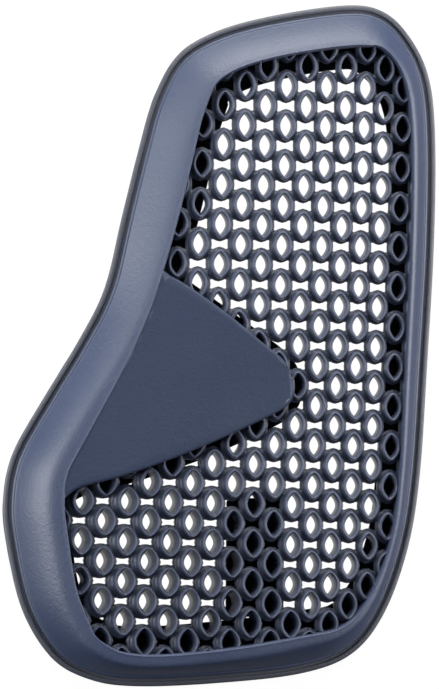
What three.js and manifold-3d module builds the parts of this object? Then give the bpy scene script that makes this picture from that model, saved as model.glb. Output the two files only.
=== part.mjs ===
// Chest guard panel for riding kit: one side of a pair, moulded in rubbery polymer.
// A thin edge flange runs round a bevelled border shell. Inside the border lie a solid corner
// panel and a lattice of raised pointed tubes. A black backing closes the rear of the border
// and carries a fastening tab. The panel lies on its back and is bent like a shallow arch.
// Millimetres: +X to the photographed right, +Y to the collar, +Z out of the front.
import * as THREE from 'three';
import { mergeVertices } from 'three/addons/utils/BufferGeometryUtils.js';
import { TessellateModifier } from 'three/addons/modifiers/TessellateModifier.js';
import Module from 'manifold-3d';

// Overall size and bend
const panelWidth = 153;
const panelHeight = 240;
const bendRadius = 330;          // bend round the chest, across the panel
const archRadius = 1200;         // slower bend along the panel
const twistRadius = 3333;        // the surface rises as x times y over this
const crestShareX = 0.025;       // where the bend is level, as shares of width and height
const crestShareY = -0.023;

// Thickness from the rear face to the ridge, which swells towards the lower outer corner
const panelThickness = 9.5;
const cornerSwell = 4;
const pieceGap = 0.3;

// Border
const lipWidth = 1.8;
const lipThickness = 1.6;
const grooveWidth = 0.8;
const grooveFloor = 0.7;
const beadWidth = 1.1;
const beadHeight = 2.2;
const beadStep = 0.4;
const bevelRun = 17;             // widest run from the bead to the ridge
const bevelBulge = 0.25;
const ridgeLand = 0.8;
const ridgeRound = 0.5;
const innerWallRun = 0.9;
const shellWall = 2.6;
const skirtWall = 1.6;

// Backing
const backThickness = 1;
const backReach = 10;            // most that the backing shows inside the ridge
const backFootGap = 0.4;
const cornerBackReach = 5;       // most that the backing reaches beyond the corner panel

// Corner panel
const cornerDrop = 0.3;          // its face lies this far below the ridge
const cornerWall = 2.2;

// Lattice: columns of tubes, every second column half a pitch up
const cellPitch = 13.98;
const columnPitch = 6.9;
const columnGrowthRatio = 1.0115;    // each column further left stands this much wider
const columnLean = 0.038;
const rowRiseRatio = 0.021;
const gridX = 45.6;
const gridY = -49.3;
const rimRecess = 2;             // tube rims lie this far below the ridge
const webDrop = 2.6;             // webs lie this far below the rims
const rimWidth = 7;
const rimLength = 12.1;
const mouthWidth = 4.8;
const mouthLength = 9;
const holeWidth = 3.3;
const holeLength = 7;
const swollenRimWidth = 7.8;
const swollenRimLength = 10.8;
const swollenMouthWidth = 6;
const swollenMouthLength = 9.4;
const swollenHoleWidth = 2.2;
const swollenHoleLength = 5;
const rimRoundness = 2.6;        // a greater roundness fills a pointed oval's shoulders
const mouthRoundness = 2;
const edgeMargin = 0.9;          // least wall left round a tube's mouth
const tubeOverhang = 1.5;        // a tube centred this far outside the lattice is still moulded

// Fastening tab, centred under the lower lattice
const tabWidth = 20.5;
const tabLength = 48;             // its lower end is trimmed to the backing ring
const tabThickness = 1.6;
const tabCornerRadius = 3;
const tabX = 11.8;
const tabTopY = -53.5;

// Mesh fineness
const stationsPerSection = 2;
const cellSideSteps = 3;
const longestFacet = 15;

// Sections round the panel, clockwise from the top: the outer edge as shares of panelWidth and
// panelHeight, the bevel as a share of bevelRun, and the backing as a share of backReach
const borderSections = [
  { x: 0.290, y: 0.498, bevel: 0.62, reach: 0.8 },
  { x: 0.379, y: 0.489, bevel: 0.57, reach: 1.0 },
  { x: 0.441, y: 0.452, bevel: 0.38, reach: 1.1 },
  { x: 0.486, y: 0.392, bevel: 0.33, reach: 0.8 },
  { x: 0.500, y: 0.301, bevel: 0.31, reach: 0.8 },
  { x: 0.496, y: 0.147, bevel: 0.30, reach: 0.8 },
  { x: 0.480, y: -0.029, bevel: 0.27, reach: 0.8 },
  { x: 0.464, y: -0.190, bevel: 0.24, reach: 0.8 },
  { x: 0.437, y: -0.297, bevel: 0.21, reach: 0.8 },
  { x: 0.382, y: -0.393, bevel: 0.27, reach: 0.8 },
  { x: 0.305, y: -0.453, bevel: 0.42, reach: 0.9 },
  { x: 0.185, y: -0.481, bevel: 0.54, reach: 0.9 },
  { x: 0.000, y: -0.494, bevel: 0.46, reach: 1.0 },
  { x: -0.185, y: -0.499, bevel: 0.42, reach: 1.0 },
  { x: -0.296, y: -0.490, bevel: 0.53, reach: 0.8 },
  { x: -0.387, y: -0.458, bevel: 0.75, reach: 0.5 },
  { x: -0.456, y: -0.387, bevel: 0.88, reach: 0.25 },
  { x: -0.492, y: -0.290, bevel: 0.95, reach: 0.25 },
  { x: -0.500, y: -0.226, bevel: 0.94, reach: 0.25 },
  { x: -0.480, y: -0.160, bevel: 0.90, reach: 0.5 },
  { x: -0.417, y: -0.086, bevel: 0.87, reach: 0.8 },
  { x: -0.331, y: 0.005, bevel: 0.80, reach: 0.8 },
  { x: -0.270, y: 0.083, bevel: 0.75, reach: 0.8 },
  { x: -0.231, y: 0.185, bevel: 0.84, reach: 0.8 },
  { x: -0.190, y: 0.288, bevel: 0.84, reach: 0.8 },
  { x: -0.156, y: 0.361, bevel: 0.80, reach: 0.8 },
  { x: -0.103, y: 0.422, bevel: 0.73, reach: 0.8 },
  { x: -0.019, y: 0.457, bevel: 0.65, reach: 0.8 },
  { x: 0.110, y: 0.481, bevel: 0.62, reach: 0.8 },
];

// Edge of the corner panel as shares of panelWidth and panelHeight, clockwise, with the backing
// beyond it as a share of cornerBackReach. The last four rows lie under the border, where the
// opening trims the panel.
const cornerEdge = [
  { x: -0.081, y: 0.086, back: 0.4 },
  { x: 0.009, y: 0.045, back: 0.4 },
  { x: 0.092, y: 0.002, back: 0.6 },
  { x: 0.134, y: -0.020, back: 0.65 },
  { x: 0.156, y: -0.041, back: 0.7 },
  { x: 0.162, y: -0.060, back: 0.75 },
  { x: 0.152, y: -0.082, back: 0.8 },
  { x: 0.112, y: -0.100, back: 0.9 },
  { x: -0.059, y: -0.149, back: 0.9 },
  { x: -0.221, y: -0.187, back: 0.75 },
  { x: -0.410, y: -0.235, back: 0.75 },
  { x: -0.400, y: -0.050, back: 0.5 },
  { x: -0.290, y: 0.060, back: 0.5 },
  { x: -0.200, y: 0.127, back: 0.4 },
];

const wasm = await Module();
wasm.setup();

// Height of the bent rear surface before it is set on its lowest edge
function bendHeight(x, y) {
  const acrossX = x - crestShareX * panelWidth;
  const alongY = y - crestShareY * panelHeight;
  return -(acrossX ** 2) / (2 * bendRadius) - alongY ** 2 / (2 * archRadius) + (x * y) / twistRadius;
}

// Share of the swell, from none at the top right to all of it at the lower left
function swellAt(x, y) {
  const slide = -0.8 * (x / panelWidth) - y / panelHeight;
  return THREE.MathUtils.smoothstep(slide, -0.05, 0.45);
}

function ridgeHeightAt(x, y) {
  return panelThickness + cornerSwell * swellAt(x, y);
}

// Stations round the outer edge, centred on the origin, each with its inward direction
function makeStations() {
  const edge = new THREE.CatmullRomCurve3(
    borderSections.map((row) => new THREE.Vector3(row.x * panelWidth, row.y * panelHeight, 0)),
    true, 'catmullrom', 0.5);
  const shares = new THREE.CatmullRomCurve3(
    borderSections.map((row) => new THREE.Vector3(row.bevel, row.reach, 0)),
    true, 'catmullrom', 0.5);
  const count = borderSections.length * stationsPerSection;
  const beadEnd = lipWidth + grooveWidth + pieceGap + beadWidth;
  const points = Array.from({ length: count }, (_, i) => edge.getPoint(i / count));
  const middle = new THREE.Box3().setFromPoints(points).getCenter(new THREE.Vector3());
  return points.map((point, i) => {
    const along = edge.getTangent(i / count);
    const share = shares.getPoint(i / count);
    return {
      x: point.x - middle.x,
      y: point.y - middle.y,
      inX: along.y,
      inY: -along.x,
      ridge: beadEnd + share.x * bevelRun,
      reach: share.y * backReach,
    };
  });
}

const stations = makeStations();
const lowestEdge = Math.min(...stations.map((s) => bendHeight(s.x, s.y)));

function rearHeightAt(x, y) {
  return bendHeight(x, y) - lowestEdge;
}

// Loop of points a stated distance inside the outer edge
function insetLoop(distanceAt) {
  return stations.map((s) => new THREE.Vector2(
    s.x + s.inX * distanceAt(s), s.y + s.inY * distanceAt(s)));
}

// Moves the sides of a clockwise loop outwards by the distance given at each point
function growLoop(loop, distanceAt) {
  const count = loop.length;
  return loop.map((point, i) => {
    const before = point.clone().sub(loop[(i + count - 1) % count]).normalize();
    const after = loop[(i + 1) % count].clone().sub(point).normalize();
    const outward = new THREE.Vector2(-before.y - after.y, before.x + after.x).normalize();
    const squareness = outward.x * -before.y + outward.y * before.x;
    return point.clone().addScaledVector(outward, distanceAt(i) / squareness);
  });
}

function isInside(point, loop) {
  let inside = false;
  loop.forEach((a, i) => {
    const b = loop[(i + 1) % loop.length];
    const crosses = (a.y > point.y) !== (b.y > point.y);
    if (crosses && point.x < a.x + ((point.y - a.y) / (b.y - a.y)) * (b.x - a.x)) inside = !inside;
  });
  return inside;
}

function toSolid(geometry) {
  const bare = geometry.clone();
  bare.deleteAttribute('normal');
  bare.deleteAttribute('uv');
  const welded = mergeVertices(bare, 1e-4);
  return new wasm.Manifold(new wasm.Mesh({
    numProp: 3,
    vertProperties: new Float32Array(welded.attributes.position.array),
    triVerts: new Uint32Array(welded.index.array),
  }));
}

function toGeometry(solid) {
  const mesh = solid.getMesh();
  const geometry = new THREE.BufferGeometry();
  geometry.setAttribute('position', new THREE.BufferAttribute(new Float32Array(mesh.vertProperties), 3));
  geometry.setIndex(new THREE.BufferAttribute(new Uint32Array(mesh.triVerts), 1));
  return geometry;
}

// Upright prism of a loop between two levels
function prism(loop, low, high, steps = 1) {
  const geometry = new THREE.ExtrudeGeometry(new THREE.Shape(loop), {
    depth: high - low, bevelEnabled: false, steps,
  });
  return geometry.translate(0, 0, low);
}

// Splits long facets, then turns levels into heights over the bent rear surface
function bend(geometry, heightAt, longest) {
  const split = new TessellateModifier(longest, 8).modify(geometry);
  const position = split.attributes.position;
  for (let i = 0; i < position.count; i += 1) {
    const x = position.getX(i);
    const y = position.getY(i);
    position.setZ(i, rearHeightAt(x, y) + heightAt(position.getZ(i), x, y));
  }
  return mergeVertices(split, 1e-4);
}

function interpolate(place, heights) {
  const step = Math.min(Math.floor(place + 1e-6), heights.length - 2);
  return THREE.MathUtils.lerp(heights[step], heights[step + 1], place - step);
}

// Closed ring swept round the stations from a profile of insets and heights
function sweepRing(profileAt) {
  const rows = stations.map((s) => profileAt(s).map(([inset, height]) => {
    const x = s.x + s.inX * inset;
    const y = s.y + s.inY * inset;
    return [x, y, rearHeightAt(x, y) + height];
  }));
  const size = rows[0].length;
  const index = [];
  rows.forEach((_, i) => {
    const next = (i + 1) % rows.length;
    for (let j = 0; j < size; j += 1) {
      const up = (j + 1) % size;
      const corners = [i * size + j, next * size + j, next * size + up, i * size + up];
      index.push(corners[0], corners[2], corners[1], corners[0], corners[3], corners[2]);
    }
  });
  const geometry = new THREE.BufferGeometry();
  geometry.setAttribute('position', new THREE.Float32BufferAttribute(rows.flat(2), 3));
  geometry.setIndex(index);
  return geometry;
}

const flangeWidth = lipWidth + grooveWidth;
const shellFoot = flangeWidth + pieceGap;
const rearFloor = backThickness + pieceGap;     // level where the moulding clears the backing

function flangeProfile() {
  return [
    [0, 0], [0, lipThickness], [lipWidth, lipThickness],
    [lipWidth, grooveFloor], [flangeWidth, grooveFloor], [flangeWidth, 0],
  ];
}

function borderProfile(s) {
  const bead = shellFoot + beadWidth;
  const crest = ridgeHeightAt(s.x + s.inX * s.ridge, s.y + s.inY * s.ridge);
  const beadTop = beadHeight + beadStep;
  const middle = (bead + s.ridge - ridgeLand) / 2;
  const middleHeight = THREE.MathUtils.lerp(beadTop, crest, 0.5 + bevelBulge / 4);
  const wallFoot = s.ridge + innerWallRun;
  const cavityOuter = shellFoot + shellWall;
  const cavityInner = wallFoot - skirtWall;
  return [
    [shellFoot, 0], [shellFoot, beadHeight], [bead, beadTop], [middle, middleHeight],
    [s.ridge - ridgeLand, crest], [s.ridge, crest - ridgeRound],
    [wallFoot, rearFloor], [cavityInner, rearFloor],
    [THREE.MathUtils.lerp(cavityOuter, cavityInner, 0.7), crest - shellWall],
    [cavityOuter, rearFloor], [cavityOuter, 0],
  ];
}

const openingLoop = insetLoop((s) => s.ridge + innerWallRun + pieceGap);
const seeThroughLoop = insetLoop((s) => s.ridge + s.reach);
const cornerLoop = cornerEdge.map((row) => new THREE.Vector2(row.x * panelWidth, row.y * panelHeight));
const cornerBackLoop = growLoop(cornerLoop, (i) => cornerEdge[i].back * cornerBackReach);

// Pointed oval with its tips up and down
function pointedOval(centre, width, length, roundness) {
  const side = Array.from({ length: cellSideSteps }, (_, i) => {
    const v = 1 - (2 * i) / cellSideSteps;
    return new THREE.Vector2((width / 2) * (1 - Math.abs(v) ** roundness), (length / 2) * v);
  });
  const back = side.map((p) => p.clone().negate());
  return [...side, ...back].map((p) => p.add(centre));
}

// Cut out of a tube to make its funnel: wide at the rim level, narrow at the rear
function funnel(centre, swell, low, high, steps) {
  const size = (plain, swollen) => THREE.MathUtils.lerp(plain, swollen, swell);
  const mouth = new THREE.Vector2(size(mouthWidth, swollenMouthWidth), size(mouthLength, swollenMouthLength));
  const hole = new THREE.Vector2(size(holeWidth, swollenHoleWidth), size(holeLength, swollenHoleLength));
  const outline = pointedOval(new THREE.Vector2(), mouth.x, mouth.y, mouthRoundness);
  const geometry = prism(outline, low, high, steps);
  const position = geometry.attributes.position;
  for (let i = 0; i < position.count; i += 1) {
    const depth = THREE.MathUtils.clamp(position.getZ(i) / level.rim, 0, 1);
    position.setX(i, position.getX(i) * THREE.MathUtils.lerp(hole.x / mouth.x, 1, depth));
    position.setY(i, position.getY(i) * THREE.MathUtils.lerp(hole.y / mouth.y, 1, depth));
  }
  return geometry.translate(centre.x, centre.y, 0);
}

// Counted levels of the lattice, which the bend turns into heights
const level = { web: 1, rim: 2, blind: 0.7 };

function latticeHeightAt(place, x, y) {
  const rim = ridgeHeightAt(x, y) - rimRecess;
  return interpolate(place, [rearFloor, rim - webDrop, rim]);
}

function cellCentre(column, row) {
  const across = (columnPitch * (columnGrowthRatio ** column - 1)) / (columnGrowthRatio - 1);
  const along = cellPitch * (row + (column % 2 === 0 ? 0 : 0.5));
  return new THREE.Vector2(gridX - across + columnLean * along, gridY + along + rowRiseRatio * across);
}

const tabLoop = makeTabLoop();

function makeTabLoop() {
  const shape = new THREE.Shape();
  const halfWidth = tabWidth / 2;
  const bottom = -tabLength;
  shape.moveTo(-halfWidth + tabCornerRadius, 0);
  shape.lineTo(halfWidth - tabCornerRadius, 0);
  shape.quadraticCurveTo(halfWidth, 0, halfWidth, -tabCornerRadius);
  shape.lineTo(halfWidth, bottom + tabCornerRadius);
  shape.quadraticCurveTo(halfWidth, bottom, halfWidth - tabCornerRadius, bottom);
  shape.lineTo(-halfWidth + tabCornerRadius, bottom);
  shape.quadraticCurveTo(-halfWidth, bottom, -halfWidth, bottom + tabCornerRadius);
  shape.lineTo(-halfWidth, -tabCornerRadius);
  shape.quadraticCurveTo(-halfWidth, 0, -halfWidth + tabCornerRadius, 0);
  const place = new THREE.Vector2(tabX, tabTopY);
  return shape.extractPoints(3).shape.slice(0, -1).map((p) => p.add(place));
}

function makeLattice() {
  const cornerGap = growLoop(cornerLoop, () => pieceGap);
  const cornerEdgeOuter = growLoop(cornerLoop, () => pieceGap + edgeMargin);
  const overhang = insetLoop((s) => s.ridge + innerWallRun - tubeOverhang);
  const mouthLimit = insetLoop((s) => s.ridge + innerWallRun + pieceGap + edgeMargin);
  const plate = toSolid(prism(openingLoop, 0, level.web));
  const tubes = [];
  const funnels = [];
  for (let column = -4; column <= 17; column += 1) {
    for (let row = -6; row <= 12; row += 1) {
      const centre = cellCentre(column, row);
      const swell = swellAt(centre.x, centre.y);
      const size = (plain, swollen) => THREE.MathUtils.lerp(plain, swollen, swell);
      const rim = pointedOval(
        centre, size(rimWidth, swollenRimWidth), size(rimLength, swollenRimLength), rimRoundness);
      const mouth = pointedOval(
        centre, size(mouthWidth, swollenMouthWidth), size(mouthLength, swollenMouthLength), mouthRoundness);
      if (isInside(centre, overhang) && !isInside(centre, cornerLoop)) {
        tubes.push(toSolid(prism(rim, level.web / 2, level.rim)));
        if (mouth.every((p) => isInside(p, mouthLimit) && !isInside(p, cornerEdgeOuter))) {
          const open = isInside(centre, seeThroughLoop) && !isInside(centre, cornerBackLoop)
            && !isInside(centre, tabLoop);
          funnels.push(toSolid(open
            ? funnel(centre, swell, -level.rim, 2 * level.rim, 3)
            : funnel(centre, swell, level.blind, 2 * level.rim - level.blind, 2)));
        }
      }
    }
  }
  const within = toSolid(prism(openingLoop, -1, level.rim + 1));
  const corner = toSolid(prism(cornerGap, -1, level.rim + 1));
  return plate.add(wasm.Manifold.union(tubes)).intersect(within).subtract(corner)
    .subtract(wasm.Manifold.union(funnels));
}

// Corner levels: 0 rear, 1 underside of the skin, 2 face
function cornerHeightAt(place, x, y) {
  const face = ridgeHeightAt(x, y) - cornerDrop;
  return interpolate(place, [rearFloor, face - shellWall, face]);
}

function makeCornerPanel() {
  const full = toSolid(prism(cornerLoop, 0, 2)).intersect(toSolid(prism(openingLoop, -1, 3)));
  const hollowOpening = insetLoop((s) => s.ridge + innerWallRun + pieceGap + cornerWall);
  const hollow = toSolid(prism(growLoop(cornerLoop, () => -cornerWall), -1, 1))
    .intersect(toSolid(prism(hollowOpening, -2, 2)));
  return full.subtract(hollow);
}

function backHeightAt(place) {
  return place * backThickness;
}

function makeBackRing() {
  const outer = insetLoop(() => shellFoot + shellWall + backFootGap);
  const ring = toSolid(prism(outer, 0, 1)).subtract(toSolid(prism(seeThroughLoop, -1, 2)));
  const behindCorner = toSolid(prism(cornerBackLoop, 0, 1))
    .intersect(toSolid(prism(outer, -1, 2)));
  return ring.add(behindCorner);
}

// The tab's upper face follows the lattice above it, and its rear face is one true plane
function makeTab() {
  const ringGap = insetLoop((s) => s.ridge + s.reach + pieceGap);
  const flat = toSolid(prism(tabLoop, 0, 1)).intersect(toSolid(prism(ringGap, -1, 2)));
  const geometry = new TessellateModifier(longestFacet, 8).modify(toGeometry(flat));
  const middle = new THREE.Vector2(tabX, tabTopY - tabLength / 2);
  const step = 1;
  const slopeX = (rearHeightAt(middle.x + step, middle.y) - rearHeightAt(middle.x - step, middle.y)) / 2;
  const slopeY = (rearHeightAt(middle.x, middle.y + step) - rearHeightAt(middle.x, middle.y - step)) / 2;
  const top = backThickness;
  const position = geometry.attributes.position;
  for (let i = 0; i < position.count; i += 1) {
    const x = position.getX(i);
    const y = position.getY(i);
    const plane = rearHeightAt(middle.x, middle.y)
      + slopeX * (x - middle.x) + slopeY * (y - middle.y) + top - tabThickness;
    position.setZ(i, position.getZ(i) > 0.5 ? rearHeightAt(x, y) + top : plane);
  }
  return mergeVertices(geometry, 1e-4);
}

function rubber(colour, roughness) {
  return new THREE.MeshStandardMaterial({ color: colour, roughness, metalness: 0, flatShading: true });
}

const guard = new THREE.Group();

function addPiece(name, geometry, material) {
  const mesh = new THREE.Mesh(geometry, material);
  mesh.name = name;
  guard.add(mesh);
}

addPiece('edge_flange', sweepRing(flangeProfile), rubber(0x5a5f70, 0.55));
addPiece('border_shell', sweepRing(borderProfile), rubber(0x434c62, 0.5));
addPiece('corner_panel', bend(toGeometry(makeCornerPanel()), cornerHeightAt, longestFacet), rubber(0x3c485c, 0.55));
addPiece('lattice_core', bend(toGeometry(makeLattice()), latticeHeightAt, 2 * longestFacet), rubber(0x3a4356, 0.5));
addPiece('back_ring', bend(toGeometry(makeBackRing()), backHeightAt, 2 * longestFacet), rubber(0x14151a, 0.9));
addPiece('back_tab', makeTab(), rubber(0x101115, 0.95));

export default guard;
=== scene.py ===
# Chest guard panel: one moulded rubber panel with a lattice of pointed tubes and a black backing.
# Lengths are in metres. +X is the photographed right, +Y the collar and +Z the front.
import math

import bmesh
import bpy
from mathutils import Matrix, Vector
from mathutils.bvhtree import BVHTree


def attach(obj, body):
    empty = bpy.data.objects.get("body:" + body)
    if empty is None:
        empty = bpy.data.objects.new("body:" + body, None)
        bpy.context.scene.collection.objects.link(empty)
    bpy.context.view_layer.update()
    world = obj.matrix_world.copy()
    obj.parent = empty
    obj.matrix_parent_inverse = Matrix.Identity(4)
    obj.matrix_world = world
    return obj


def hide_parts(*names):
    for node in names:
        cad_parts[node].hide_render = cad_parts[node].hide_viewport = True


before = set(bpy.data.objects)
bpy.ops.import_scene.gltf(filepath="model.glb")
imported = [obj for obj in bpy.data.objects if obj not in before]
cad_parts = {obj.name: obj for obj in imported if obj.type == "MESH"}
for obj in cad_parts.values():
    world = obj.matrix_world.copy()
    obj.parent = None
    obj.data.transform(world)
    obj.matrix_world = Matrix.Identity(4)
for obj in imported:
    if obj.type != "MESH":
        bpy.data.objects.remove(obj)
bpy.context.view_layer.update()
print("frame loaded:", ", ".join(sorted(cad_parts)))

mm = 0.001

# The panel's own size and bend, as in the frame
panel = {
    "width": 153 * mm,
    "height": 240 * mm,
    "bendRadius": 330 * mm,      # bend round the chest
    "archRadius": 1200 * mm,     # slower bend along the panel
    "twistRadius": 3333 * mm,
    "crestX": 0.025,             # where the bend is level, as shares of width and height
    "crestY": -0.023,
    "thickness": 9.5 * mm,
    "cornerSwell": 4 * mm,       # extra thickness at the lower outer corner
    "rearFloor": 1.3 * mm,       # where the moulding clears the backing
    "widestBevel": 17 * mm,
    "widestReach": 10 * mm,      # most that the backing shows inside the ridge
    "beadEnd": 4 * mm,
}

# Clockwise round the edge from the top: place, bevel and backing as shares of the values above
edgeRows = [
    (0.290, 0.498, 0.62, 0.8), (0.379, 0.489, 0.57, 1.2), (0.441, 0.452, 0.38, 1.2),
    (0.486, 0.392, 0.33, 1.05), (0.500, 0.301, 0.31, 0.8), (0.496, 0.147, 0.30, 0.8),
    (0.480, -0.029, 0.27, 0.8), (0.464, -0.190, 0.24, 0.8), (0.437, -0.297, 0.21, 0.8),
    (0.382, -0.393, 0.27, 0.8), (0.305, -0.453, 0.42, 0.9), (0.185, -0.481, 0.54, 0.9),
    (0.000, -0.494, 0.46, 1.0), (-0.185, -0.499, 0.42, 1.0), (-0.296, -0.490, 0.53, 0.8),
    (-0.387, -0.458, 0.75, 0.5), (-0.456, -0.387, 0.88, 0.25), (-0.492, -0.290, 0.95, 0.25),
    (-0.500, -0.226, 0.94, 0.25), (-0.480, -0.160, 0.90, 0.5), (-0.417, -0.086, 0.87, 0.8),
    (-0.331, 0.005, 0.80, 0.8), (-0.270, 0.083, 0.75, 0.8), (-0.231, 0.185, 0.84, 0.8),
    (-0.190, 0.288, 0.84, 0.8), (-0.156, 0.361, 0.80, 0.8), (-0.103, 0.422, 0.73, 0.8),
    (-0.019, 0.457, 0.65, 0.8), (0.110, 0.481, 0.62, 0.8),
]


def mixed(a, b, share):
    return a + (b - a) * share


def bendHeight(x, y):
    across = x - panel["crestX"] * panel["width"]
    along = y - panel["crestY"] * panel["height"]
    return (-across ** 2 / (2 * panel["bendRadius"]) - along ** 2 / (2 * panel["archRadius"])
            + x * y / panel["twistRadius"])


def swellAt(x, y):
    slide = (-0.8 * x / panel["width"] - y / panel["height"] + 0.05) / 0.5
    slide = min(max(slide, 0), 1)
    return slide * slide * (3 - 2 * slide)


def ridgeHeightAt(x, y):
    return panel["thickness"] + panel["cornerSwell"] * swellAt(x, y)


# Place and direction on a closed smooth curve through the rows, at a share of its length
def onCurve(rows, share):
    count = len(rows)
    place = share * count
    i, t = int(place) % count, place - int(place)
    found, along = [], []
    for a, b, c, d in zip(*(rows[(i + k - 1) % count] for k in range(4))):
        slopeIn, slopeOut = (c - a) / 2, (d - b) / 2
        found.append(b + slopeIn * t + (3 * (c - b) - 2 * slopeIn - slopeOut) * t ** 2
                     + (2 * (b - c) + slopeIn + slopeOut) * t ** 3)
        along.append(slopeIn + 2 * (3 * (c - b) - 2 * slopeIn - slopeOut) * t
                     + 3 * (2 * (b - c) + slopeIn + slopeOut) * t ** 2)
    return found, along


class Station:
    # One place on the outer edge, with its inward direction and its two insets
    def __init__(self, share, middle=(0, 0)):
        (x, y, bevel, reach), (alongX, alongY, *_) = onCurve(edgeRows, share)
        alongX, alongY = alongX * panel["width"], alongY * panel["height"]
        length = math.hypot(alongX, alongY)
        self.x = x * panel["width"] - middle[0]
        self.y = y * panel["height"] - middle[1]
        self.inward = (alongY / length, -alongX / length)
        self.ridge = panel["beadEnd"] + bevel * panel["widestBevel"]
        self.reach = reach * panel["widestReach"]
        self.crest = ridgeHeightAt(*self.inset(self.ridge))

    def inset(self, distance):
        return self.x + self.inward[0] * distance, self.y + self.inward[1] * distance


def stationsRound(count):
    rough = 2 * len(edgeRows)
    first = [Station(i / rough) for i in range(rough)]
    middle = ((min(s.x for s in first) + max(s.x for s in first)) / 2,
              (min(s.y for s in first) + max(s.y for s in first)) / 2)
    return [Station(i / count, middle) for i in range(count)]


lowestEdge = min(bendHeight(s.x, s.y) for s in stationsRound(2 * len(edgeRows)))
stations = stationsRound(5 * len(edgeRows))


def rearHeightAt(x, y):
    return bendHeight(x, y) - lowestEdge


def finishPiece(bm, name, material, node, subdivide=0, smooth=True):
    mesh = bpy.data.meshes.new(name)
    for face in bm.faces:
        face.smooth = smooth
    bm.to_mesh(mesh)
    bm.free()
    piece = bpy.data.objects.new(name, mesh)
    bpy.context.collection.objects.link(piece)
    mesh.materials.append(material)
    if subdivide:
        smoothing = piece.modifiers.new("smoothing", "SUBSURF")
        smoothing.levels = smoothing.render_levels = subdivide
    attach(piece, "root")
    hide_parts(node)
    print("made", name, len(mesh.polygons), "faces before smoothing")
    return piece


def extrudeOnce(bm, edges):
    made = bmesh.ops.extrude_edge_only(bm, edges=edges)["geom"]
    verts = [g for g in made if isinstance(g, bmesh.types.BMVert)]
    moved = set(verts)
    rim = [g for g in made if isinstance(g, bmesh.types.BMEdge) and set(g.verts) <= moved]
    return verts, rim


# Ring swept round the stations: a loop of edges is extruded once for each row of the profile
def sweepRing(profileAt, creases=()):
    bm = bmesh.new()
    station = bm.verts.layers.int.new("station")
    crease = bm.edges.layers.float.new("crease_edge")
    rows = [profileAt(s) for s in stations]

    def place(vert, row):
        x, y = stations[vert[station]].inset(rows[vert[station]][row][0])
        vert.co = (x, y, rearHeightAt(x, y) + rows[vert[station]][row][1])

    loop = []
    for i in range(len(stations)):
        vert = bm.verts.new()
        vert[station] = i
        place(vert, 0)
        loop.append(vert)
    edges = [bm.edges.new((a, b)) for a, b in zip(loop, loop[1:] + loop[:1])]
    for row in list(range(1, len(rows[0]))) + [0]:
        verts, edges = extrudeOnce(bm, edges)
        for vert in verts:
            place(vert, row)
        for edge in edges:
            edge[crease] = dict(creases).get(row, 0)
    bmesh.ops.remove_doubles(bm, verts=bm.verts, dist=1e-7)
    bmesh.ops.recalc_face_normals(bm, faces=bm.faces)
    return bm


# Upright ribbon on a loop of points, to find what lies beyond it
def ribbonTree(points):
    bm = bmesh.new()
    loop = [bm.verts.new((x, y, -0.05)) for x, y in points]
    edges = [bm.edges.new((a, b)) for a, b in zip(loop, loop[1:] + loop[:1])]
    verts, _ = extrudeOnce(bm, edges)
    bmesh.ops.translate(bm, verts=verts, vec=(0, 0, 0.15))
    bmesh.ops.recalc_face_normals(bm, faces=bm.faces)
    tree = BVHTree.FromBMesh(bm)
    bm.free()
    return tree


# Moves what lies beyond a ribbon back to it, or out to it where side is -1; counts the moved
def holdTo(tree, verts, side=1):
    moved = 0
    for vert in verts:
        place = Vector((vert.co.x, vert.co.y, 0))
        nearest, normal, _, _ = tree.find_nearest(place)
        if (place - nearest).dot(normal) * side > 0:
            vert.co.x, vert.co.y = nearest.x, nearest.y
            moved += 1
    return moved


# One socket, so that shader maths is written as an expression
class Wire:
    def __init__(self, tree, socket):
        self.tree = tree
        self.socket = socket

    def maths(self, operation, first, second=None):
        node = self.tree.nodes.new("ShaderNodeMath")
        node.operation = operation
        for i, value in enumerate((first, second)):
            if isinstance(value, Wire):
                self.tree.links.new(value.socket, node.inputs[i])
            elif value is not None:
                node.inputs[i].default_value = value
        return Wire(self.tree, node.outputs[0])

    def __add__(self, other):
        return self.maths("ADD", self, other)

    def __radd__(self, other):
        return self.maths("ADD", other, self)

    def __sub__(self, other):
        return self.maths("SUBTRACT", self, other)

    def __rsub__(self, other):
        return self.maths("SUBTRACT", other, self)

    def __mul__(self, other):
        return self.maths("MULTIPLY", self, other)

    def __rmul__(self, other):
        return self.maths("MULTIPLY", other, self)

    def within(self, low, high):
        return self.maths("MINIMUM", self.maths("MAXIMUM", self, low), high)


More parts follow.
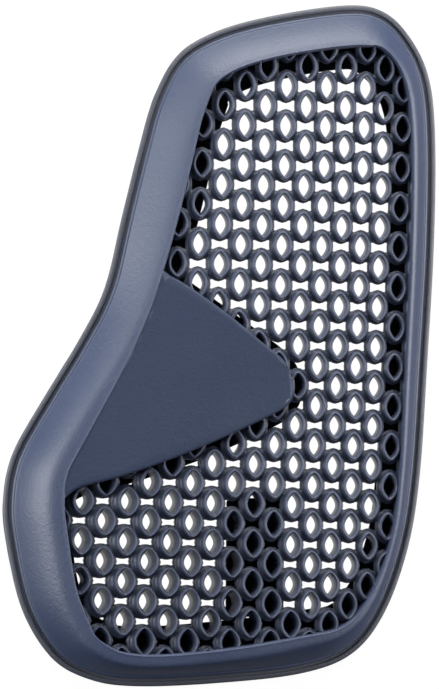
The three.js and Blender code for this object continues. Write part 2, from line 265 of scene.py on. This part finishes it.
class Finish:
    # A new material and its nodes, or those of the world
    def __init__(self, name, tree=None):
        if tree is None:
            self.material = bpy.data.materials.new(name)
            self.material.use_nodes = True
        self.tree = tree or self.material.node_tree
        self.tree.nodes.clear()
        places = self.node("ShaderNodeTexCoord")
        self.object, self.generated = places.outputs["Object"], places.outputs["Generated"]

    def node(self, kind, settings=None, sockets=None):
        node = self.tree.nodes.new(kind)
        for name, value in (settings or {}).items():
            if name == "stops":
                for stop, (place, colour) in zip(node.color_ramp.elements, value):
                    stop.position, stop.color = place, colour
            else:
                setattr(node, name, value)
        for name, value in (sockets or {}).items():
            if isinstance(value, Wire):
                value = value.socket
            if isinstance(value, bpy.types.NodeSocket):
                self.tree.links.new(value, node.inputs[name])
            else:
                node.inputs[name].default_value = value
        return node

    def noise(self, scale, detail=2.0, roughness=0.5, stretch=(1, 1, 1)):
        place = self.node("ShaderNodeMapping", None, {"Vector": self.object, "Scale": stretch})
        found = self.node("ShaderNodeTexNoise", None, {
            "Vector": place.outputs[0], "Scale": scale, "Detail": detail, "Roughness": roughness})
        return Wire(self.tree, found.outputs["Fac"])

    def mixColour(self, share, first, second):
        mix = self.node("ShaderNodeMix", {"data_type": "RGBA"}, {0: share, 6: first, 7: second})
        return mix.outputs[2]

    def bump(self, height, distance, strength=1.0, normal=None):
        sockets = {"Height": height, "Distance": distance, "Strength": strength}
        if normal:
            sockets["Normal"] = normal
        return self.node("ShaderNodeBump", None, sockets).outputs[0]

    def surface(self, sockets):
        shader = self.node("ShaderNodeBsdfPrincipled", None, sockets)
        self.node("ShaderNodeOutputMaterial", None, {"Surface": shader.outputs[0]})
        return self.material


# Satin moulded rubber: navy, with a fine grain, faint clouding and flow marks
rubber = {
    "deep": (0.025, 0.040, 0.088, 1),
    "light": (0.037, 0.055, 0.112, 1),
    "roughness": 0.48,
    "grainScale": 1500,
    "grainHeight": 0.11 * mm,
    "clothScale": 520,
    "clothHeight": 0.09 * mm,
}


def mouldedRubber(name, tone=1.0, grain=1.0, greyness=0.0, gloss=0.85):
    finish = Finish(name)
    clouds = finish.noise(38, 3, 0.55)
    speckle = finish.noise(rubber["grainScale"] * 0.7, 2, 0.6)
    share = (clouds * 0.9 + speckle * 0.5 - 0.2).within(0, 1)
    deep, light = (tuple(mixed(v, rubber[end][1], greyness) * tone for v in rubber[end][:3]) + (1,)
                   for end in ("deep", "light"))
    colour = finish.mixColour(share, deep, light)
    roughness = clouds * 0.10 + speckle * 0.10 + (rubber["roughness"] - 0.1)
    coarse = finish.noise(rubber["clothScale"], 2, 0.5)
    fine = finish.noise(rubber["grainScale"], 2, 0.55)
    normal = finish.bump(coarse, rubber["clothHeight"] * grain)
    normal = finish.bump(fine, rubber["grainHeight"] * grain, 1.0, normal)
    return finish.surface({
        "Base Color": colour, "Roughness": roughness, "Normal": normal,
        "Specular IOR Level": gloss, "Sheen Weight": 0.1, "Sheen Roughness": 0.45,
        "Sheen Tint": (0.75, 0.8, 1.0, 1)})


backing = {
    "deep": (0.0045, 0.005, 0.008, 1),
    "light": (0.012, 0.0125, 0.017, 1),
    "roughness": 0.85,
}


# Black backing: matt, with a fine nap
def mattBacking(name):
    finish = Finish(name)
    nap = finish.noise(2600, 3, 0.6)
    clouds = finish.noise(60, 3, 0.5)
    share = (nap * 0.7 + clouds * 0.5 - 0.1).within(0, 1)
    colour = finish.mixColour(share, backing["deep"], backing["light"])
    normal = finish.bump(nap, 0.05 * mm)
    return finish.surface({
        "Base Color": colour, "Roughness": clouds * 0.1 + (backing["roughness"] - 0.05),
        "Normal": normal, "Specular IOR Level": 0.35})


rubberBorder = mouldedRubber("rubberBorder")
rubberLip = mouldedRubber("rubberLip", 1.2, 1.0, 0.7)
# Darker copy for the corner panel: its lower tone (0.68) is painted shade, for a plate face turned away
# from the top light
rubberCornerPaintedShade = mouldedRubber("rubberCornerPaintedShade", 0.68, 1.0, 0.0, 0.5)
# Lighter, greyer copy for the lattice: its raised tone and greyness are painted reflection, for the white
# light its rounded rims catch
rubberLatticePaintedLight = mouldedRubber("rubberLatticePaintedLight", 1.15, 0.7, 0.3)
blackBacking = mattBacking("blackBacking")
blackTab = mattBacking("blackTab")
print("materials made")

# Edge flange: a thin lip and the floor of the groove inside it
flange = {
    "lipWidth": 1.8 * mm,
    "lipThickness": 1.6 * mm,
    "lipRound": 0.4 * mm,
    "grooveFloor": 0.7 * mm,
    "innerEdge": 3.3 * mm,       # under the border's foot, so no light shows between them
}


def flangeProfile(_):
    f = flange
    return [
        (0, 0), (0, f["lipThickness"] - f["lipRound"] * 1.2),
        (f["lipRound"] * 0.8, f["lipThickness"]),
        (f["lipWidth"] - f["lipRound"] * 0.6, f["lipThickness"]),
        (f["lipWidth"], f["lipThickness"] - f["lipRound"] * 0.5),
        (f["lipWidth"] + 0.05 * mm, f["grooveFloor"]), (f["innerEdge"], f["grooveFloor"]),
        (f["innerEdge"], 0),
    ]


edgeFlange = finishPiece(sweepRing(flangeProfile, {0: 0.6, 5: 0.7, 7: 0.8}), "edgeFlange", rubberLip,
                         "edge_flange", 2)

# Border shell: bead, long bevel, rounded ridge, slanted inner wall and the hollow behind them
border = {
    "foot": 2.9 * mm,
    "beadHeight": 2.2 * mm,
    "beadStep": 0.4 * mm,
    "bulge": (0.45, 0.95),       # how rounded the bevel is, plain and at the swollen corner
    "ridgeLand": (1.2 * mm, 3.6 * mm),   # level strip beside the ridge, plain and swollen
    # Fine raised line along the ridge: millimetres inwards of the ridge and above it
    "ridgeRows": ((-0.75, 0), (-0.5, 0.16), (-0.2, 0.16), (0, -0.2), (0.22, -1.6)),
    "innerWallRun": 0.9 * mm,
    "shellWall": 2.6 * mm,
    "skirtWall": 1.6 * mm,
}


def borderProfile(s):
    b = border
    beadTop = b["beadHeight"] + b["beadStep"]
    swell = swellAt(*s.inset(s.ridge))
    start, end = panel["beadEnd"] + 0.15 * mm, s.ridge - mixed(*b["ridgeLand"], swell)
    bulge = mixed(*b["bulge"], swell)

    def bevel(t):
        rise = t + bulge * t * (1 - t)
        return mixed(start, end, t), mixed(beadTop, s.crest, rise)

    wallFoot = s.ridge + b["innerWallRun"]
    cavityOuter = b["foot"] + b["shellWall"]
    cavityInner = wallFoot - b["skirtWall"]
    return [
        (b["foot"], 0), (b["foot"], b["beadHeight"] - 0.4 * mm),
        (b["foot"] + 0.15 * mm, b["beadHeight"] + 0.12 * mm),
        (b["foot"] + 0.75 * mm, beadTop - 0.1 * mm), (b["foot"] + 0.98 * mm, beadTop - 0.24 * mm),
        *(bevel(t) for t in (0, 0.12, 0.4, 0.7, 0.92)),
        *((s.ridge + inwards * mm, s.crest + up * mm) for inwards, up in b["ridgeRows"]),
        (wallFoot, panel["rearFloor"]), (cavityInner, panel["rearFloor"]),
        (mixed(cavityOuter, cavityInner, 0.7), s.crest - b["shellWall"]),
        (cavityOuter, panel["rearFloor"]), (cavityOuter, 0),
    ]


borderShell = finishPiece(sweepRing(borderProfile, {0: 0.8, 14: 0.7, 15: 0.7, 18: 0.8}), "borderShell",
                          rubberBorder, "border_shell", 2)

# Corner panel: a smooth plate between the lower outer border and the middle of the lattice
corner = {
    "drop": 0.2 * mm,            # its face lies this far below the ridge
    "edgeRound": 0.9 * mm,
    "roundStop": 1 * mm,         # its edge stays square from this far before the ridge
    "underRidge": 2 * mm,        # its flat outline reaches this far under the border
    "overlap": 0.35 * mm,        # it reaches this far under the ridge, and the lattice under it
    "rowSteps": 24,
    "farCorner": 6.4,            # row where its corner lies under the border
    "endTrim": 0.012,            # share of each long side left off at both ends
    "acrossCuts": 13,
    "alongSteps": 44,
    "backReach": 5 * mm,         # most that the backing shows beyond it
}
wallTree = ribbonTree([s.inset(s.ridge + 0.05 * mm) for s in stations])
ridgeTree = ribbonTree([s.inset(s.ridge - corner["overlap"]) for s in stations])
underTree = ribbonTree([s.inset(s.ridge - corner["underRidge"]) for s in stations])

# Its edge as shares of width and height, clockwise from the tip, with the backing beyond it as a
# share of backReach; the middle rows lie under the border
cornerRows = [
    (0.162, -0.060, 0.75), (0.152, -0.082, 0.8), (0.112, -0.100, 0.9), (-0.059, -0.149, 0.9),
    (-0.221, -0.187, 0.75), (-0.330, -0.206, 0.75), (-0.410, -0.223, 0.75), (-0.400, -0.050, 0.5),
    (-0.290, 0.060, 0.5), (-0.200, 0.127, 0.4), (-0.128, 0.103, 0.4), (-0.081, 0.086, 0.4),
    (0.009, 0.045, 0.4), (0.092, 0.002, 0.6), (0.134, -0.020, 0.65), (0.156, -0.041, 0.7),
]


# Points along the corner's edge, grown by a length or by the backing's reach
def cornerPoints(steps, grow=None):
    points = []
    for i in range(len(cornerRows) * steps):
        (x, y, reach), (alongX, alongY, _) = onCurve(cornerRows, i / (len(cornerRows) * steps))
        alongX, alongY = alongX * panel["width"], alongY * panel["height"]
        out = (reach * corner["backReach"] if grow is None else grow) / math.hypot(alongX, alongY)
        points.append(Vector((x * panel["width"] - alongY * out, y * panel["height"] + alongX * out, 0)))
    return points


# Flat plate between the two long sides of the corner's edge, in even faces
def cornerSheet(grow, coverTree):
    bm = bmesh.new()
    steps = corner["alongSteps"]
    outline = cornerPoints(corner["rowSteps"], grow)
    for point in outline:
        nearest, normal, _, _ = coverTree.find_nearest(point)
        if (point - nearest).dot(normal) > 0:
            point.x, point.y = nearest.x, nearest.y
    turn = int(corner["farCorner"] * corner["rowSteps"])
    lower, upper = outline[:turn + 1], (outline[turn:] + outline[:1])[::-1]
    chains = []
    for side in (lower, upper):
        lengths = [0]
        for a, b in zip(side, side[1:]):
            lengths.append(lengths[-1] + (b - a).length)
        verts, k = [], 0
        for i in range(steps + 1):
            wanted = lengths[-1] * mixed(corner["endTrim"], 1 - corner["endTrim"], i / steps)
            while lengths[k + 1] < wanted:
                k += 1
            t = (wanted - lengths[k]) / (lengths[k + 1] - lengths[k])
            verts.append(bm.verts.new(side[k].lerp(side[k + 1], t)))
        chains.append([bm.edges.new(pair) for pair in zip(verts, verts[1:])])
    made = bmesh.ops.bridge_loops(bm, edges=chains[0] + chains[1])
    ribs = [e for e in made["edges"] if e not in chains[0] and e not in chains[1]]
    bmesh.ops.subdivide_edges(bm, edges=ribs, cuts=corner["acrossCuts"], use_grid_fill=True)
    bmesh.ops.recalc_face_normals(bm, faces=bm.faces)
    made = bmesh.ops.extrude_face_region(bm, geom=list(bm.faces), use_keep_orig=True)
    lifted = [g for g in made["geom"] if isinstance(g, bmesh.types.BMVert)]
    bmesh.ops.translate(bm, verts=lifted, vec=(0, 0, 1))
    bmesh.ops.recalc_face_normals(bm, faces=bm.faces)
    return bm


def isBeyond(tree, point):
    place = Vector((point[0], point[1], 0))
    nearest, normal, _, _ = tree.find_nearest(place)
    return math.copysign((place - nearest).length, (place - nearest).dot(normal))


def makeCornerPanel():
    bm = cornerSheet(0, underTree)
    edges = [e for e in bm.edges if all(v.co.z > 0.5 for v in e.verts)
             and any(abs(f.normal.z) < 0.5 for f in e.link_faces)
             and all(isBeyond(ridgeTree, v.co) < -corner["roundStop"] for v in e.verts)]
    bmesh.ops.bevel(bm, geom=edges, offset=corner["edgeRound"], offset_type="OFFSET", affect="EDGES",
                    segments=3, profile=0.5, material=-1)
    holdTo(ridgeTree, bm.verts)
    for vert in bm.verts:
        rim = 1 - vert.co.z                    # what the bevel took off the edge
        x, y = vert.co.x, vert.co.y
        rear = rearHeightAt(x, y)
        if vert.co.z > 0.5:
            vert.co.z = rear + ridgeHeightAt(x, y) - corner["drop"] - rim
        else:
            vert.co.z = rear + panel["rearFloor"]
    return bm


cornerPanel = finishPiece(makeCornerPanel(), "cornerPanel", rubberCornerPaintedShade, "corner_panel")
cornerTree = ribbonTree([(p.x, p.y) for p in cornerPoints(12, -corner["overlap"])])

# Lattice: columns of pointed tubes, every second column half a pitch up, joined by low webs
lattice = {
    "pitch": 13.98 * mm,
    "columnPitch": 6.9 * mm,
    "columnGrowth": 1.0115,      # each column further left stands this much wider
    "columnLean": 0.038,
    "rowRise": 0.021,
    "startX": 45.6 * mm,
    "startY": -49.3 * mm,
    "rimRecess": 2 * mm,         # rims lie this far below the ridge
    "rimRound": 0.85 * mm,       # shoulders lie this far below the rims
    "mouthDepth": 0.6 * mm,      # where the bore starts below a rim
    "webDrop": 3.6 * mm,         # webs lie this far below the rims
    "cut": 0.4 * mm,             # corner taken off each gap between tubes
    "plainBelow": -0.16,         # holes and gaps grow upwards from this share of the height
}

# Widths and lengths of a tube's parts in millimetres: plain, at the swollen corner, what they gain
# for each panel height further up, how full their shoulders are and how far inwards they stand,
# plain and swollen
tubeRows = {
    "hole": ((3.55, 6.8), (2.35, 5.3), (1.3, 2.4), 1.8, (0.08, 0.8)),
    "mouth": ((4.2, 7.9), (6.0, 9.8), (0.4, 1.0), 2.1, (0, 1.1)),
    "crown": ((5.9, 10.2), (7.0, 10.6), (0, 0), 2.5, (0, 1.1)),
    "shoulder": ((6.8, 11.3), (7.5, 11.1), (0, 0), 2.8, (0, 1.1)),
    "foot": ((7.4, 11.9), (8.0, 11.6), (0, 0), 2.8, (0, 0.95)),
}

# The same for a gap between tubes: half its width, half its height at the ends and in the middle
gapSize = ((2.72, 1.56, 0.52), (2.2, 0.98, 0.76), (0.85, 1.4, 0.1))
gapShift = 0.42                  # how far inwards one stands at the swollen corner

# How far up a tube its twelve places lie, clockwise from the upper point
tubeTurns = [1, 0.72, 0.36, 0, -0.36, -0.72, -1, -0.72, -0.36, 0, 0.36, 0.72]


def gridPoint(column, along):
    g = lattice
    across = g["columnPitch"] * (g["columnGrowth"] ** column - 1) / (g["columnGrowth"] - 1)
    return (g["startX"] - across + g["columnLean"] * along, g["startY"] + along + g["rowRise"] * across)


def sizesAt(sizes, x, y):
    up = max(y / panel["height"], lattice["plainBelow"])
    return [mixed(plain + gain * up, swollen, swellAt(x, y)) * mm
            for plain, swollen, gain in zip(*sizes[:3])]


# Where one of a tube's twelve places lies on a named row
def tubePoint(column, along, row, turn):
    x, y = gridPoint(column, along)
    if row in tubeRows:
        fullness, shift = tubeRows[row][3:]
        width, length = sizesAt(tubeRows[row], x, y)
        v = tubeTurns[turn]
        side = 0 if turn in (0, 6) else (1 if turn < 6 else -1)
        x += mixed(*shift, swellAt(x, y)) * mm
        return x + side * width / 2 * (1 - abs(v) ** fullness), y + length / 2 * v
    halfPitch = lattice["pitch"] / 2
    gapX, gapY = (gridPoint(column, along + halfPitch) if turn in (11, 0, 1) else
                  gridPoint(column - 1, along) if turn in (2, 3, 4) else
                  gridPoint(column, along - halfPitch) if turn in (5, 6, 7) else
                  gridPoint(column + 1, along))
    wide, high, waist = sizesAt(gapSize, gapX, gapY)
    cut = lattice["cut"]
    gapX += gapShift * swellAt(gapX, gapY) * mm
    offset = {
        11: (cut - wide, -high), 0: (0, -waist), 1: (wide - cut, -high),
        2: (-wide, high - cut), 3: (-wide, 0), 4: (-wide, cut - high),
        5: (wide - cut, high), 6: (0, waist), 7: (cut - wide, high),
        8: (wide, cut - high), 9: (wide, 0), 10: (wide, high - cut),
    }[turn]
    return gapX + offset[0], gapY + offset[1]


def tubeHeight(row, x, y):
    rim = ridgeHeightAt(x, y) - lattice["rimRecess"]
    return rearHeightAt(x, y) + {
        "hole": panel["rearFloor"], "rear": panel["rearFloor"],
        "mouth": rim - lattice["mouthDepth"], "crown": rim + 0.1 * mm,
        "shoulder": rim - lattice["rimRound"],
        "foot": rim - lattice["webDrop"], "ledge": rim - lattice["webDrop"],
    }[row]


def makeLattice():
    rowNames = ["hole", "mouth", "crown", "shoulder", "foot", "ledge", "rear"]
    bm = bmesh.new()
    turnLayer = bm.verts.layers.int.new("turn")
    rowLayer = bm.verts.layers.int.new("row")
    crease = bm.edges.layers.float.new("crease_edge")
    loop = bmesh.ops.create_circle(bm, segments=12, radius=1)["verts"]
    for vert in loop:
        vert[turnLayer] = round(math.degrees(math.atan2(vert.co.x, vert.co.y)) / 30) % 12
    edges = list(bm.edges)
    for row in range(1, len(rowNames) + 1):
        verts, edges = extrudeOnce(bm, edges)
        for vert in verts:
            vert[rowLayer] = row % len(rowNames)
            vert.co.z = row % len(rowNames)
    bmesh.ops.remove_doubles(bm, verts=bm.verts, dist=1e-6)
    for edge in bm.edges:
        a, b = edge.verts
        rows = {a[rowLayer], b[rowLayer]}
        alongPoint = a[turnLayer] == b[turnLayer] and a[turnLayer] in (0, 6)
        if alongPoint and max(rows) != 3 and max(rows) - min(rows) < 3:
            edge[crease] = 0.8 if max(rows) < 3 else 0.15
        elif rows in ({0}, {5}, {6}):
            edge[crease] = 0.7
        elif rows == {4}:
            edge[crease] = 0.8
    pattern = list(bm.verts) + list(bm.edges) + list(bm.faces)
    tubes = {}
    for column in range(-4, 18):
        for row in range(-6, 13):
            along = lattice["pitch"] * (row + (0 if column % 2 == 0 else 0.5))
            rim = [Vector((*tubePoint(column, along, "shoulder", t), 0)) for t in range(12)]
            shown = [p for p in rim if isBeyond(wallTree, p) < 0 and isBeyond(cornerTree, p) > 0]
            if len(shown) < 2:
                continue
            made = bmesh.ops.duplicate(bm, geom=pattern)["geom"]
            verts = [g for g in made if isinstance(g, bmesh.types.BMVert)]
            for vert in verts:
                name = rowNames[vert[rowLayer]]
                x, y = tubePoint(column, along, name, vert[turnLayer])
                vert.co = (x, y, tubeHeight(name, x, y))
            faces = [g for g in made if isinstance(g, bmesh.types.BMFace)]
            sides = {}
            for face in faces:
                turns = sorted({v[turnLayer] for v in face.verts})
                outer = {v[rowLayer] for v in face.verts} == {5, 6}
                if outer and turns in ([1, 2], [4, 5], [7, 8], [10, 11]):
                    sides[turns[0]] = face
            tubes[column, row] = sides
    bmesh.ops.delete(bm, geom=pattern, context="VERTS")
    webs = 0
    for (column, row), sides in tubes.items():
        rowUp = row + (0 if column % 2 == 0 else 1)
        for near, other, far in ((1, (column - 1, rowUp), 7), (10, (column + 1, rowUp), 4)):
            if other in tubes:
                facing = [sides[near], tubes[other][far]]
                edges = [e for f in facing for e in f.edges]
                bmesh.ops.delete(bm, geom=facing, context="FACES_ONLY")
                bmesh.ops.bridge_loops(bm, edges=edges)
                webs += 1
    bmesh.ops.recalc_face_normals(bm, faces=bm.faces)
    print("lattice:", len(tubes), "tubes and", webs, "webs")
    return bm


latticeCore = finishPiece(makeLattice(), "latticeCore", rubberLatticePaintedLight, "lattice_core", 1)


# The smoothing is applied, so that the fine mesh can be held to the walls round it
def applySmoothing(piece):
    seen = piece.evaluated_get(bpy.context.evaluated_depsgraph_get())
    fine = bpy.data.meshes.new_from_object(seen)
    piece.modifiers.clear()
    piece.data = fine
    return fine


fineMesh = applySmoothing(latticeCore)
bm = bmesh.new()
bm.from_mesh(fineMesh)
moved = holdTo(cornerTree, bm.verts, -1) + holdTo(wallTree, bm.verts)
bm.to_mesh(fineMesh)
bm.free()
print("lattice held to its walls:", moved, "places of", len(fineMesh.vertices))

# Black backing: a flat ring behind the border, and a sheet behind the corner panel
back = {
    "thickness": 1 * mm,
    "outerInset": 5.9 * mm,
    "layer": 0.05 * mm,          # the corner's sheet is this much thinner on each side
}


def backProfile(s):
    outer, inner, high = back["outerInset"], s.ridge + s.reach, back["thickness"]
    soft = 0.12 * mm
    middle = mixed(outer, inner, 0.5)
    return [(outer, 0), (outer, high), (middle, high), (inner - soft, high), (inner, high - soft),
            (inner, soft), (inner - soft, 0), (middle, 0)]


backTree = ribbonTree([s.inset(s.ridge + s.reach - 0.2 * mm) for s in stations])
ring = sweepRing(backProfile)
sheet = cornerSheet(None, ribbonTree([s.inset(s.ridge + s.reach - 2 * mm) for s in stations]))
holdTo(backTree, sheet.verts)
for vert in sheet.verts:
    level = back["thickness"] - back["layer"] if vert.co.z > 0.5 else back["layer"]
    vert.co.z = rearHeightAt(vert.co.x, vert.co.y) + level
spare = bpy.data.meshes.new("cornerBacking")
sheet.to_mesh(spare)
sheet.free()
ring.from_mesh(spare)
bpy.data.meshes.remove(spare)
backRing = finishPiece(ring, "backRing", blackBacking, "back_ring", smooth=False)

# Fastening tab under the lower lattice: its rear face is flat, its front follows the lattice
tab = {
    "width": 20.5 * mm,
    "length": 48 * mm,
    "thickness": 1.6 * mm,
    "cornerRadius": 3 * mm,
    "x": 11.8 * mm,
    "topY": -53.5 * mm,
    "ringGap": 0.3 * mm,
}


def makeTab():
    bm = bmesh.new()
    bmesh.ops.create_grid(bm, x_segments=8, y_segments=18, size=0.5)
    bmesh.ops.scale(bm, vec=(tab["width"], tab["length"], 1), verts=bm.verts)
    bmesh.ops.translate(bm, vec=(tab["x"], tab["topY"] - tab["length"] / 2, 0), verts=bm.verts)
    corners = [v for v in bm.verts if len(v.link_edges) == 2]
    bmesh.ops.bevel(bm, geom=corners, offset=tab["cornerRadius"] * 0.55, affect="VERTICES",
                    segments=4, profile=0.5, material=-1)
    made = bmesh.ops.extrude_face_region(bm, geom=list(bm.faces), use_keep_orig=True)
    lifted = [g for g in made["geom"] if isinstance(g, bmesh.types.BMVert)]
    bmesh.ops.translate(bm, verts=lifted, vec=(0, 0, 1))
    bmesh.ops.recalc_face_normals(bm, faces=bm.faces)
    holdTo(ribbonTree([s.inset(s.ridge + s.reach + tab["ringGap"]) for s in stations]), bm.verts)
    middle = (tab["x"], tab["topY"] - tab["length"] / 2)
    step = 1 * mm
    slopeX = (rearHeightAt(middle[0] + step, middle[1])
              - rearHeightAt(middle[0] - step, middle[1])) / (2 * step)
    slopeY = (rearHeightAt(middle[0], middle[1] + step)
              - rearHeightAt(middle[0], middle[1] - step)) / (2 * step)
    for vert in bm.verts:
        x, y = vert.co.x, vert.co.y
        plane = (rearHeightAt(*middle) + slopeX * (x - middle[0]) + slopeY * (y - middle[1])
                 + back["thickness"] - tab["thickness"])
        vert.co.z = rearHeightAt(x, y) + back["thickness"] if vert.co.z > 0.5 else plane
    return bm


backTab = finishPiece(makeTab(), "backTab", blackTab, "back_tab", smooth=False)

# Camera at the photograph's angle: tipped towards the panel's left, with the collar up
shot = {
    "tip": 7,                    # degrees
    "distance": 6.0,
    "sensor": 36,
    "target": (-1.27 * mm, 0.4 * mm, 12 * mm),
    "millimetresPerPixel": 0.3507,
    "pixelsHigh": 689,
}
cameraData = bpy.data.cameras.new("camera")
camera = bpy.data.objects.new("camera", cameraData)
bpy.context.collection.objects.link(camera)
tip = math.radians(shot["tip"])
camera.location = Vector(shot["target"]) + shot["distance"] * Vector((-math.sin(tip), 0, math.cos(tip)))
camera.rotation_euler = (0, -tip, 0)
cameraData.sensor_width = shot["sensor"]
cameraData.lens = (shot["sensor"] * shot["distance"]
                   / (shot["pixelsHigh"] * shot["millimetresPerPixel"] * mm))
cameraData.clip_start, cameraData.clip_end = 0.05, 60
bpy.context.scene.camera = camera

# Floor that is almost all glow, so that the holes read as bright as the ground round the panel
studio = {
    "floorColour": (0.05, 0.05, 0.05, 1),
    "floorGlow": 0.96,
    "sheetGlow": 1.2,
    "worldDark": (0.01, 0.012, 0.016, 1),      # beyond the lower edge of the panel
    "worldLight": (0.20, 0.21, 0.22, 1),       # beyond the collar
}
floorMesh = bpy.data.meshes.new("floor")
bm = bmesh.new()
bmesh.ops.create_grid(bm, x_segments=1, y_segments=1, size=20)
bm.to_mesh(floorMesh)
bm.free()
floor = bpy.data.objects.new("floor", floorMesh)
bpy.context.collection.objects.link(floor)
floor.location.z = -0.0002
finish = Finish("paleFloor")
floorMesh.materials.append(finish.surface({
    "Base Color": studio["floorColour"], "Roughness": 0.9, "Specular IOR Level": 0.1,
    "Emission Color": (1, 1, 1, 1), "Emission Strength": studio["floorGlow"]}))
floor.visible_diffuse = floor.visible_glossy = False    # its glow doesn't light the panel from below

# Bright sheet under the panel alone, unseen by the camera, so that the holes' walls catch the ground
padMesh = bpy.data.meshes.new("brightSheet")
bm = bmesh.new()
loop = [bm.verts.new((*s.inset(s.ridge), -0.0001)) for s in stations]
bm.faces.new(loop)
bm.to_mesh(padMesh)
bm.free()
pad = bpy.data.objects.new("brightSheet", padMesh)
bpy.context.collection.objects.link(pad)
finish = Finish("brightSheet")
padMesh.materials.append(finish.surface({
    "Base Color": (0, 0, 0, 1), "Emission Color": (1, 1, 1, 1), "Emission Strength": studio["sheetGlow"]}))
pad.visible_camera = False

# Soft boxes: place, where they point from, width, height and brightness
softBoxes = {
    "topBox": ((0.0, 1.2, 0.62), 1.5, 0.9, 7.2, (1.0, 0.99, 0.96)),
    "leftBox": ((-1.3, 0.05, 0.42), 0.8, 1.3, 7.2, (0.97, 0.98, 1.0)),
    "rightBox": ((1.27, 0.05, 0.48), 0.8, 1.1, 7.5, (1.0, 0.97, 0.97)),
}
for name, (place, width, high, brightness, colour) in softBoxes.items():
    light = bpy.data.lights.new(name, "AREA")
    light.shape = "RECTANGLE"
    light.size, light.size_y = width, high
    light.energy = brightness * math.pi * width * high
    light.color = colour
    box = bpy.data.objects.new(name, light)
    bpy.context.collection.objects.link(box)
    box.location = place
    box.rotation_euler = (-Vector(place)).to_track_quat("-Z", "Y").to_euler()
    box.visible_camera = False

world = bpy.data.worlds.new("studio")
world.use_nodes = True
sky = Finish("sky", world.node_tree)
towards = sky.node("ShaderNodeSeparateXYZ", None, {"Vector": sky.generated})
share = (Wire(sky.tree, towards.outputs["Y"]) * 0.6 + 0.5).within(0, 1)
skyLight = sky.node("ShaderNodeBackground", None, {
    "Color": sky.mixColour(share, studio["worldDark"], studio["worldLight"])})
sky.node("ShaderNodeOutputWorld", None, {"Surface": skyLight.outputs[0]})
bpy.context.scene.world = world
bpy.context.scene.view_settings.view_transform = "Standard"
print("camera, floor and lights set")

bpy.context.view_layer.update()
